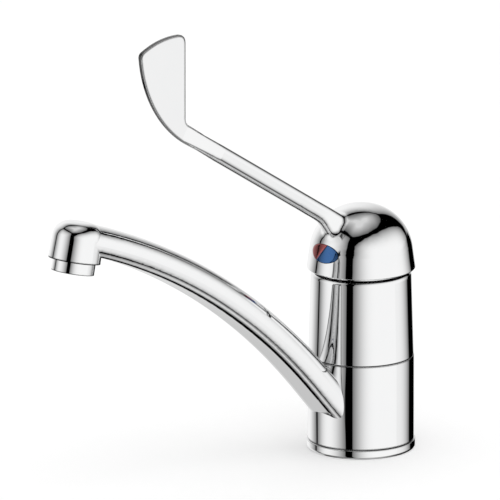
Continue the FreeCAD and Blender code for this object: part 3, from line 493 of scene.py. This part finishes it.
@dataclass(frozen=True)
class LightTent:
    """The soft light tent that chrome mirrors: three walls and the light over and under them.

    Each wall starts at a low level along its edges and brightens inwards. The nearer edge
    rules, with a smooth minimum. Between the walls' long edges and the light at the zenith
    and the nadir lies a dark ring. Angles are in degrees and levels are the world's strength.
    """

    walls: tuple[Softbox, ...] = (
        Softbox(
            left=-19.0, right=130.5, left_lean=2.2, right_lean=5.5, left_fade=55.0,
            right_fade=45.0, ring_half=90.0, foot_drop=8.0,
            top=Rim(height=1.33, turn=53.5, ring_turn=60.0, ring_rise=11.6),
            foot=Rim(height=2.45, turn=10.0, ring_turn=10.0, ring_rise=22.0)),
        Softbox(
            left=-109.5, right=-32.8, left_lean=0.0, right_lean=-1.7, left_fade=42.0,
            right_fade=55.0, ring_half=41.5,
            top=Rim(height=1.17, turn=-71.0, ring_turn=-71.5, ring_rise=7.0),
            foot=Rim(height=1.1, turn=-71.0, ring_turn=-71.5, ring_rise=5.0)),
        Softbox(
            left=143.0, right=247.0, left_lean=6.5, right_lean=0.0, left_fade=50.0,
            right_fade=50.0, ring_half=49.25, foot_level=0.45,
            top=Rim(height=1.42, turn=195.0, ring_turn=198.5, ring_rise=11.6),
            foot=Rim(height=1.25, turn=247.0, ring_turn=200.0, ring_rise=10.0)),
    )
    wall_level: float = 1.09
    end_level: float = 0.69
    edge_level: float = 0.15
    edge_width: float = 1.5
    lift_gain: float = 10.0
    side_blend: float = 0.3
    corner_blend: float = 0.5
    rim_fade: float = 40.0
    rim_flat: float = 5.5
    ring_base: float = 49.5
    ring_power: float = 1.2
    end_fade: float = 26.0
    fill_level: float = 0.86

    def start(self, sky: Sky, distance: Socket) -> Socket:
        """The quick rise from 0 to 1 over the width of an edge."""
        return sky.math("DIVIDE", distance, math.radians(self.edge_width), clamp=True)

    def edge(self, sky: Sky, distance: Socket, fade: float, level: Value) -> Socket:
        """The light inside an edge: a quarter sine of the distance, up from a level.

        Args:
            sky: The world's graph.
            distance: How far inside the edge, in radians.
            fade: Where the light is full, in degrees.
            level: The light at the edge.

        Returns:
            The light's socket.
        """
        share = sky.math("DIVIDE", distance, math.radians(fade), clamp=True)
        curve = sky.math("SINE", sky.math("MULTIPLY", share, math.pi / 2))
        curve = sky.math("MULTIPLY_ADD", curve, sky.math("SUBTRACT", 1.0, level), level)
        return sky.math("MULTIPLY", curve, self.start(sky, distance))

    def straight(self, sky: Sky, height: Value, turn: Value) -> Socket:
        """The elevation of a straight edge: the arc tangent of height times a cosine.

        Args:
            sky: The world's graph.
            height: The tangent of the edge's elevation at its middle.
            turn: Where its middle is, in degrees.

        Returns:
            The elevation's socket, in radians.
        """
        away = sky.math("ABSOLUTE", sky.from_turn(turn))
        away = sky.math("SUBTRACT", away, math.radians(self.rim_flat))
        away = sky.math("MINIMUM", sky.math("MAXIMUM", away, 0.0), math.pi / 2)
        return sky.math("ARCTANGENT", sky.math("MULTIPLY", sky.math("COSINE", away), height))

    def side_light(self, sky: Sky, wall: Softbox) -> Socket:
        """The light between a wall's two upright edges.

        Args:
            sky: The world's graph.
            wall: The wall.

        Returns:
            The light's socket.
        """
        half = math.radians((wall.right - wall.left) / 2)
        place = sky.from_turn((wall.left + wall.right) / 2)
        left = sky.math("MULTIPLY_ADD", sky.lift, -math.radians(wall.left_lean), half)
        left = sky.math("ADD", left, place)
        right = sky.math("MULTIPLY_ADD", sky.lift, math.radians(wall.right_lean), half)
        right = sky.math("SUBTRACT", right, place)
        return sky.math(
            "SMOOTH_MIN", self.edge(sky, left, wall.left_fade, self.edge_level),
            self.edge(sky, right, wall.right_fade, self.edge_level), self.side_blend)

    def rim_light(self, sky: Sky, wall: Softbox) -> Socket:
        """The light inside a wall's long edge, the top one above the horizon.

        Args:
            sky: The world's graph.
            wall: The wall.

        Returns:
            The light's socket.
        """
        top, foot = wall.top, wall.foot
        rim = self.straight(
            sky, sky.either(top.height, foot.height), sky.either(top.turn, foot.turn))
        least = self.straight(sky, top.height, top.turn)
        least = sky.math("SUBTRACT", least, math.radians(wall.foot_drop))
        inside = sky.math("SUBTRACT", sky.math("MAXIMUM", rim, least), sky.rise)
        return self.edge(
            sky, inside, self.rim_fade, sky.either(self.edge_level, wall.foot_level))

    def ring_bow(self, sky: Sky, wall: Softbox) -> Socket:
        """How far the dark ring's far side rises over a wall: a power of a half sine.

        Args:
            sky: The world's graph.
            wall: The wall.

        Returns:
            The rise's socket, in radians.
        """
        top, foot = wall.top, wall.foot
        along = sky.math("ABSOLUTE", sky.from_turn(sky.either(top.ring_turn, foot.ring_turn)))
        along = sky.math("DIVIDE", along, math.radians(wall.ring_half))
        along = sky.math("SUBTRACT", 1.0, along, clamp=True)
        bow = sky.math("SINE", sky.math("MULTIPLY", along, math.pi / 2))
        bow = sky.math("POWER", bow, self.ring_power)
        rise = sky.either(math.radians(top.ring_rise), math.radians(foot.ring_rise))
        return sky.math("MULTIPLY", bow, rise)

    def end_light(self, sky: Sky, ring: Value) -> Socket:
        """The light beyond the dark ring, which rises evenly to the zenith and the nadir.

        Args:
            sky: The world's graph.
            ring: The elevation of the ring's far side, in radians.

        Returns:
            The light's socket.
        """
        beyond = sky.math("SUBTRACT", sky.rise, ring)
        light = sky.math("DIVIDE", beyond, math.radians(self.end_fade), clamp=True)
        light = sky.math("MULTIPLY_ADD", light, 1.0 - self.edge_level, self.edge_level)
        light = sky.math("MULTIPLY", light, self.start(sky, beyond))
        return sky.math("MULTIPLY", light, self.end_level)

    def glow(self, sky: Sky) -> Socket:
        """Add up the walls and the light beyond the ring.

        Args:
            sky: The world's graph.

        Returns:
            The tent's light in each direction.
        """
        light, ring = 0.0, math.radians(self.ring_base)
        for wall in self.walls:
            lit = sky.math(
                "SMOOTH_MIN", self.side_light(sky, wall), self.rim_light(sky, wall),
                self.corner_blend)
            light = sky.math("ADD", sky.math("MAXIMUM", lit, 0.0), light)
            ring = sky.math("ADD", self.ring_bow(sky, wall), ring)
        return sky.math("MULTIPLY_ADD", light, self.wall_level, self.end_light(sky, ring))

    def build(self, azimuth: float) -> None:
        """Show white to the camera, an even light to dull surfaces and the tent to chrome.

        Args:
            azimuth: The camera's turn to the right of the front, in degrees.
        """
        world = bpy.data.worlds.new("light_tent")
        bpy.context.scene.world = world
        world.use_nodes = True
        sky = Sky(world.node_tree, azimuth, self.lift_gain)
        tent = self.glow(sky)
        paths = sky.node("ShaderNodeLightPath")
        plain = sky.math(
            "MULTIPLY_ADD", paths.outputs["Is Camera Ray"], 1.0 - self.fill_level,
            self.fill_level)
        strength = sky.node("ShaderNodeMix", data_type="FLOAT")
        sky.plug(paths.outputs["Is Glossy Ray"], strength.inputs["Factor"])
        sides = [s for s in strength.inputs if s.type == "VALUE" and s.name in ("A", "B")]
        sky.plug(plain, sides[0])
        sky.plug(tent, sides[1])
        background = sky.node("ShaderNodeBackground")
        background.inputs["Color"].default_value = WHITE
        sky.plug(strength.outputs[0], background.inputs["Strength"])
        output = sky.node("ShaderNodeOutputWorld")
        sky.plug(background.outputs[0], output.inputs["Surface"])


@dataclass(frozen=True)
class Studio:
    """The camera, the pale floor, one soft lamp and the light tent.

    Angles are in degrees, and places and sizes in metres, apart from the lens and the sensor,
    which are in millimetres. far_clip is a multiple of the camera's distance.
    """

    view_azimuth: float = 48.35
    view_elevation: float = 15.0
    lens: float = 1500.0
    sensor: float = 36.0
    pixels_per_mm: float = 1.9815
    image_size: float = 500.0
    aim: Triple = (0.0, -0.07545, 0.11635)
    near_clip: float = 0.1
    far_clip: float = 4.0
    floor_radius: float = 60.0
    floor_facets: int = 96
    floor_colour: Triple = (0.93, 0.93, 0.93)
    floor_tint: float = 0.99
    floor_cloud_scale: float = 30.0
    floor_roughness: float = 0.9
    floor_glow: float = 0.2
    lamp_watts: float = 3.2
    lamp_size: float = 1.2
    lamp_place: Triple = (0.9, -0.5, 1.7)
    tent: LightTent = LightTent()

    def towards_camera(self) -> Vector:
        """Unit vector from the tap to the camera."""
        turn, rise = math.radians(self.view_azimuth), math.radians(self.view_elevation)
        return Vector((
            math.sin(turn) * math.cos(rise), -math.cos(turn) * math.cos(rise), math.sin(rise)))

    def build_camera(self) -> None:
        """Add the camera, so far off that the view is almost parallel, as the photo's is."""
        data = bpy.data.cameras.new("view")
        data.lens = self.lens
        data.sensor_width = self.sensor
        width = self.image_size / self.pixels_per_mm * MM
        distance = width * self.lens / self.sensor
        data.clip_start = self.near_clip
        data.clip_end = distance * self.far_clip
        camera = bpy.data.objects.new("view", data)
        back = self.towards_camera()
        camera.location = Vector(self.aim) + back * distance
        camera.rotation_euler = back.to_track_quat("Z", "Y").to_euler()
        bpy.context.scene.collection.objects.link(camera)
        bpy.context.scene.camera = camera

    def floor_paper(self) -> bpy.types.Material:
        """Make the floor's matt paper, which glows a little to the camera alone.

        Returns:
            The floor's material.
        """
        material = bpy.data.materials.new("floor_paper")
        material.use_nodes = True
        graph = Graph(material.node_tree)
        shader = material.node_tree.nodes["Principled BSDF"]
        coords = graph.node("ShaderNodeTexCoord").outputs["Object"]
        cloud = graph.noise(coords, self.floor_cloud_scale, GRAIN_DETAIL)
        tinted = tuple(part * self.floor_tint for part in self.floor_colour)
        graph.plug(graph.blend(cloud, self.floor_colour, tinted), shader.inputs["Base Color"])
        shader.inputs["Roughness"].default_value = self.floor_roughness
        shader.inputs["Specular IOR Level"].default_value = 0.0
        seen = graph.node("ShaderNodeLightPath").outputs["Is Camera Ray"]
        shader.inputs["Emission Color"].default_value = WHITE
        glow = graph.math("MULTIPLY", seen, self.floor_glow)
        graph.plug(glow, shader.inputs["Emission Strength"])
        return material

    def build_floor(self) -> None:
        """Add a round pale floor under the tap, which takes its shadow."""
        count = self.floor_facets
        turn = np.linspace(0.0, 2 * np.pi, count, endpoint=False)
        rim = np.stack([np.cos(turn), np.sin(turn), np.zeros(count)], axis=1) * self.floor_radius
        mesh = bpy.data.meshes.new("floor")
        mesh.from_pydata(rim.tolist(), [], [list(range(count))])
        floor = bpy.data.objects.new("floor", mesh)
        bpy.context.scene.collection.objects.link(floor)
        mesh.materials.append(self.floor_paper())
        floor.visible_glossy = False

    def build_lamp(self) -> None:
        """Add one large soft lamp above and to the right, for a gentle shadow."""
        data = bpy.data.lights.new("soft_lamp", "AREA")
        data.shape = "DISK"
        data.size = self.lamp_size
        data.energy = self.lamp_watts
        lamp = bpy.data.objects.new("soft_lamp", data)
        lamp.location = self.lamp_place
        lamp.rotation_euler = lamp.location.to_track_quat("Z", "Y").to_euler()
        lamp.visible_glossy = False
        lamp.visible_camera = False
        bpy.context.scene.collection.objects.link(lamp)

    def build(self) -> None:
        """Set up the whole studio."""
        bpy.context.scene.view_settings.view_transform = "Standard"
        self.build_camera()
        self.build_floor()
        self.tent.build(self.view_azimuth)
        self.build_lamp()
        LOG.info("studio ready")


@dataclass
class SubAssembly:
    """One moving body of the tap, with the finish of each of its nodes."""

    body: str
    finishes: dict[Finish, tuple[str, ...]]

    def material(self, finish: Finish) -> bpy.types.Material:
        """The material with the finish's name, made only where none has that name yet."""
        return bpy.data.materials.get(finish.name) or finish.make()

    def dress(self, nodes: dict[str, bpy.types.Object]) -> None:
        """Put the finishes on the body's nodes.

        Args:
            nodes: The frame's objects by name.
        """
        for finish, names in self.finishes.items():
            for name in names:
                node = nodes[name]
                if not node.material_slots:
                    node.data.materials.append(self.material(finish))
                for place in node.material_slots:
                    place.material = self.material(finish)
                LOG.info("%s: %s dressed in %s", self.body, name, finish.name)

    def add_tube(self, name: str, points: np.ndarray, finish: Finish, replaced: str) -> None:
        """Add a closed piece whose rows are loops, the first and the last shrunk to a line.

        Args:
            name: The piece's name.
            points: Rows of loops of points, in millimetres.
            finish: Its finish.
            replaced: The node that it stands for.
        """
        rows, columns = points.shape[:2]
        index = np.arange(rows * columns).reshape(rows, columns)
        after = np.roll(index, -1, axis=1)
        faces = np.stack([index[:-1], after[:-1], after[1:], index[1:]], axis=-1).reshape(-1, 4)
        mesh = bpy.data.meshes.new(name)
        mesh.from_pydata((points.reshape(-1, 3) * MM).tolist(), [], faces.tolist())
        work = bmesh.new()
        work.from_mesh(mesh)
        bmesh.ops.remove_doubles(work, verts=work.verts, dist=MERGE_DISTANCE)
        bmesh.ops.dissolve_degenerate(work, edges=work.edges, dist=MERGE_DISTANCE)
        bmesh.ops.recalc_face_normals(work, faces=work.faces)
        work.to_mesh(mesh)
        work.free()
        mesh.shade_smooth()
        mesh.set_sharp_from_angle(angle=math.radians(SHARP_ANGLE))
        mesh.materials.append(self.material(finish))
        piece = bpy.data.objects.new(name, mesh)
        bpy.context.scene.collection.objects.link(piece)
        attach(piece, self.body)
        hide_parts(replaced)
        LOG.info("%s: %s made with %d points", self.body, name, rows * columns)


@dataclass
class TapBody(SubAssembly):
    """The fixed column with its base, its bearings and the cartridge's fixed pieces."""

    body: str = "tap_body"
    finishes: dict[Finish, tuple[str, ...]] = field(default_factory=lambda: {
        BODY_CHROME: ("body", "cover_ring"),
        RING_CHROME: ("base_ring",),
        TURNED_BRASS: ("cartridge_nut",),
        LAPPED_CERAMIC: ("fixed_disc",),
        BLACK_RUBBER: ("base_gasket", "o_ring_lower", "o_ring_upper", "cartridge_seals"),
        WHITE_ACETAL: ("slip_ring_lower", "slip_ring_upper"),
        GREY_ACETAL: ("cartridge_base", "cartridge_housing"),
    })


@dataclass
class Spout(SubAssembly):
    """The swivelling collar, arm and nozzle with the aerator in it."""

    body: str = "swivel_spout"
    finishes: dict[Finish, tuple[str, ...]] = field(default_factory=lambda: {
        SPOUT_CHROME: ("spout",),
        RING_CHROME: ("aerator_shell",),
        BRUSHED_STEEL: ("aerator_screen",),
        BLACK_RUBBER: ("aerator_washer",),
        WHITE_ACETAL: ("aerator_insert",),
    })


@dataclass
class Turret(SubAssembly):
    """The cartridge's turning part, which carries the lever's pivot."""

    body: str = "turret"
    finishes: dict[Finish, tuple[str, ...]] = field(default_factory=lambda: {
        WHITE_ACETAL: ("cartridge_turret",),
    })


@dataclass
class SlidingDisc(SubAssembly):
    """The moving ceramic disc in its carrier."""

    body: str = "disc"
    finishes: dict[Finish, tuple[str, ...]] = field(default_factory=lambda: {
        LAPPED_CERAMIC: ("moving_disc",),
        WHITE_ACETAL: ("disc_carrier",),
    })


@dataclass
class Lever(SubAssembly):
    """The cap with its bar and blade, the stem, and the two enamels of the index.

    Sizes are in millimetres and draft in degrees. The skin is a cone under a round shoulder,
    and the index is an ellipse on it, seen from the front and split by a slanting line. An
    enamel has enamel_loops loops, with enamel_points points across its front.
    """

    body: str = "lever"
    finishes: dict[Finish, tuple[str, ...]] = field(default_factory=lambda: {
        LEVER_CHROME: ("lever_handle",),
        BRUSHED_STEEL: ("cartridge_stem", "stem_pin", "handle_screw"),
        RED_ENAMEL: ("index_red",),
        BLUE_ENAMEL: ("index_blue",),
    })
    skirt_radius: float = 26.098
    skirt_top: float = 105.25
    draft: float = 7.8
    shoulder_radius: float = 25.232
    shoulder_place: Pair = (1.1, 101.826)
    index_centre: Pair = (-0.15, 105.58)
    index_half: Pair = (9.65, 4.64)
    split_from: Pair = (-4.9, 101.6)
    split_to: Pair = (1.9, 109.9)
    split_gap: float = 0.06
    enamel_rise: float = 0.2
    enamel_edge: float = -0.06
    enamel_foot: float = -0.9
    enamel_loops: int = 48
    enamel_points: int = 24
    bulge_power: int = 8

    def skin_radius(self, height: np.ndarray) -> np.ndarray:
        """The cap's radius: a cone up to the skirt's top, and a circle's arc above it.

        Args:
            height: Heights in the frame, in millimetres.

        Returns:
            The radius at each height.
        """
        cone = self.skirt_radius + (self.skirt_top - height) * math.tan(math.radians(self.draft))
        rise = np.clip(height - self.shoulder_place[1], 0.0, self.shoulder_radius)
        arc = self.shoulder_place[0] + np.sqrt(self.shoulder_radius ** 2 - rise ** 2)
        return np.where(height < self.skirt_top, cone, arc)

    def on_skin(self, flat: np.ndarray, proud: np.ndarray) -> np.ndarray:
        """Points seen from the front laid on the cap, standing proud of it.

        Args:
            flat: Places across and up, in millimetres.
            proud: How far each stands out of the cap's radius.

        Returns:
            The points in space.
        """
        across, height = flat[..., 0], flat[..., 1]
        reach = np.sqrt((self.skin_radius(height) + proud) ** 2 - across ** 2)
        return np.stack([across, -reach, height], axis=-1)

    def split_ends(self, upper: bool) -> np.ndarray:
        """Where the split line, moved by half its gap, crosses the ellipse.

        In units of the half axes the ellipse is a circle of 1. The crossings lie on both
        sides of the line's nearest point to the middle, by the half chord of Pythagoras.

        Args:
            upper: Whether it is moved to the half above it.

        Returns:
            The far and the near crossing, in units of the half axes.
        """
        centre, half = np.array(self.index_centre), np.array(self.index_half)
        start, end = np.array(self.split_from), np.array(self.split_to)
        run = (end - start) / np.linalg.norm(end - start)
        side = np.array([-run[1], run[0]]) * (1.0 if upper else -1.0)
        start = start + side * self.split_gap / 2
        near, slope = (start - centre) / half, run / half
        square = slope @ slope
        middle = -(near @ slope) / square
        reach = math.sqrt(middle ** 2 - (near @ near - 1.0) / square)
        return near + np.outer([middle + reach, middle - reach], slope)

    def enamel(self, upper: bool) -> np.ndarray:
        """One half of the index, as loops along its arc.

        Each loop runs over the front from the split line to the ellipse and back behind it.
        The front bulges over the skin by the product, for the two directions, of one less a
        high power of the distance from the middle, so it is flat and rolls over at its rim.

        Args:
            upper: Whether it is the half above the split line.

        Returns:
            Loops of points in millimetres.
        """
        ends = self.split_ends(upper)
        turns = np.arctan2(ends[:, 1], ends[:, 0])
        if upper:
            turns[1] += 2 * np.pi * (turns[1] < turns[0])
        else:
            turns[1] -= 2 * np.pi * (turns[1] > turns[0])
        along = np.linspace(0.0, 1.0, self.enamel_loops)[:, None, None]
        across = np.linspace(0.0, 1.0, self.enamel_points)[None, :, None]
        turn = turns[0] + (turns[1] - turns[0]) * along
        arc = np.concatenate([np.cos(turn), np.sin(turn)], axis=-1)
        chord = ends[0] + (ends[1] - ends[0]) * along
        flat = np.array(self.index_half) * (chord + (arc - chord) * across)
        flat = np.array(self.index_centre) + flat
        power = self.bulge_power
        bulge = (1 - np.abs(2 * across - 1) ** power) * (1 - np.abs(2 * along - 1) ** power)
        front = self.on_skin(flat, self.enamel_edge + self.enamel_rise * bulge[..., 0])
        back = self.on_skin(flat, np.full(flat.shape[:2], self.enamel_foot))
        return np.concatenate([front, back[:, ::-1]], axis=1)

    def build(self) -> None:
        """Add the two enamels in place of the plain index halves."""
        self.add_tube("index_enamel_red", self.enamel(True), RED_ENAMEL, "index_red")
        self.add_tube("index_enamel_blue", self.enamel(False), BLUE_ENAMEL, "index_blue")


def main() -> None:
    """Build the studio and dress the tap."""
    logging.basicConfig(level=logging.INFO, format="%(name)s: %(message)s")
    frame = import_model()
    Studio().build()
    lever = Lever()
    for part in (TapBody(), Spout(), Turret(), SlidingDisc(), lever):
        part.dress(frame["nodes"])
    lever.build()


if __name__ == "__main__":
    main()
